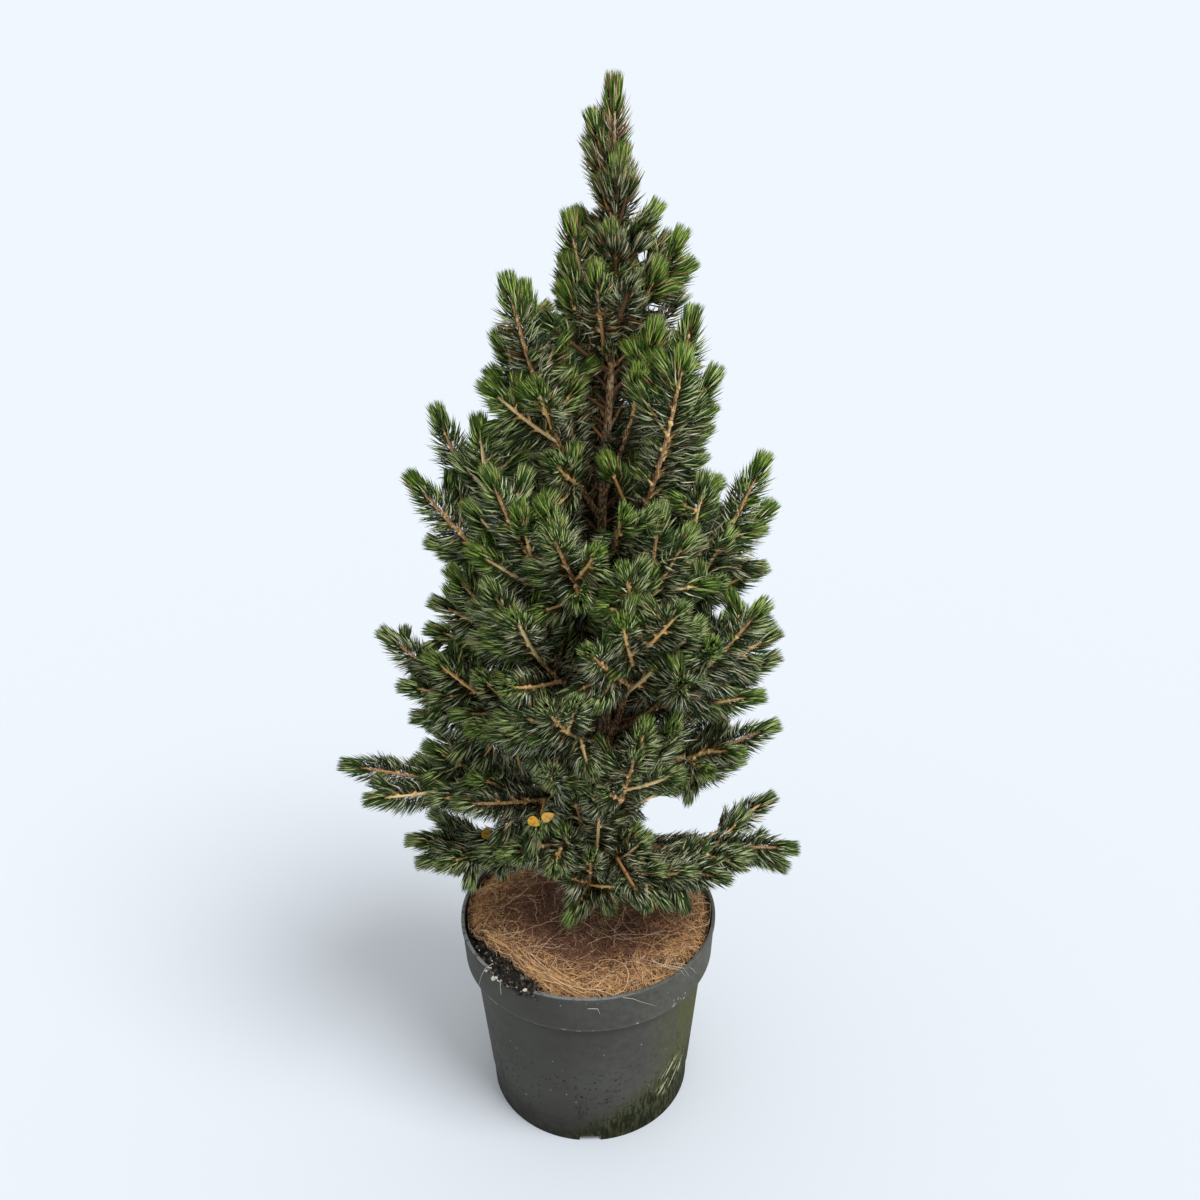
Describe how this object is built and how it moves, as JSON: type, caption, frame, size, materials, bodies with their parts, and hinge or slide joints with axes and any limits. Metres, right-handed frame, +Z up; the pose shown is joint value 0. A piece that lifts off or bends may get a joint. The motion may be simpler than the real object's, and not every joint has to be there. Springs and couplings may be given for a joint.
{
  "type": "potted young alberta spruce",
  "caption": "Young conical spruce with a slim trunk, tiers of upswept needled boughs, and a round nursery pot filled with soil under a mat of coconut fibre.",
  "frame": {"origin": "centre of the pot's flat underside, on the surface that the pot stands on", "axes": "+Z up along the pot's axis, +X to the right and -Y to the front of the plant"},
  "size_m": [0.3174, 0.2383, 0.726],
  "materials": {
    "pot_plastic": "moulded dark grey plastic, dusty and stained with algae",
    "soil": "dark crumbly potting compost",
    "coir": "tangled coconut fibre, matt",
    "bark": "grey-brown rough bark",
    "twig_bark": "orange-brown young bark with leaf cushions",
    "needles": "green needles with a whitish bloom, satin"
  },
  "bodies": {
    "root": {"pot": "pot_plastic", "potting_soil": "soil", "trunk": "bark", "coir_mat": "coir", "bough_skirt_right": "twig_bark", "bough_skirt_front_right": "twig_bark", "bough_skirt_left": "twig_bark", "bough_skirt_front_left": "twig_bark", "bough_skirt_back_right": "twig_bark", "bough_skirt_back": "twig_bark", "bough_skirt_back_left": "twig_bark", "bough_lower_front_left": "twig_bark", "bough_lower_left": "twig_bark", "bough_lower_right": "twig_bark", "bough_lower_front_right": "twig_bark", "bough_lower_back_left": "twig_bark", "bough_middle_front": "twig_bark", "bough_middle_left": "twig_bark", "bough_middle_right": "twig_bark", "bough_middle_front_right": "twig_bark", "bough_upper_right": "twig_bark", "foliage_skirt_right": "needles", "foliage_skirt_front_right": "needles", "foliage_skirt_left": "needles", "foliage_skirt_front_left": "needles", "foliage_skirt_back_right": "needles", "foliage_skirt_back": "needles", "foliage_skirt_back_left": "needles", "foliage_lower_front_left": "needles", "foliage_lower_left": "needles", "foliage_lower_right": "needles", "foliage_lower_front_right": "needles", "foliage_lower_back_left": "needles", "foliage_middle_front": "needles", "foliage_middle_left": "needles", "foliage_middle_right": "needles", "foliage_middle_front_right": "needles", "foliage_upper_right": "needles", "foliage_skirt_front": "needles", "foliage_lower_back_right": "needles", "foliage_middle_front_left": "needles", "foliage_middle_left_high": "needles", "foliage_middle_back_left": "needles", "foliage_middle_back": "needles", "foliage_middle_back_right": "needles", "foliage_upper_left": "needles", "foliage_upper_front_left": "needles", "foliage_upper_front": "needles", "foliage_upper_front_right": "needles", "foliage_upper_right_high": "needles", "foliage_upper_back_left": "needles", "foliage_upper_back_right": "needles", "foliage_crown_right": "needles", "foliage_crown_left": "needles", "foliage_crown_back": "needles", "foliage_top_right": "needles", "foliage_top_left": "needles", "foliage_top_back": "needles", "foliage_top_whorl": "needles", "foliage_leader": "needles"}
  },
  "joints": []
}
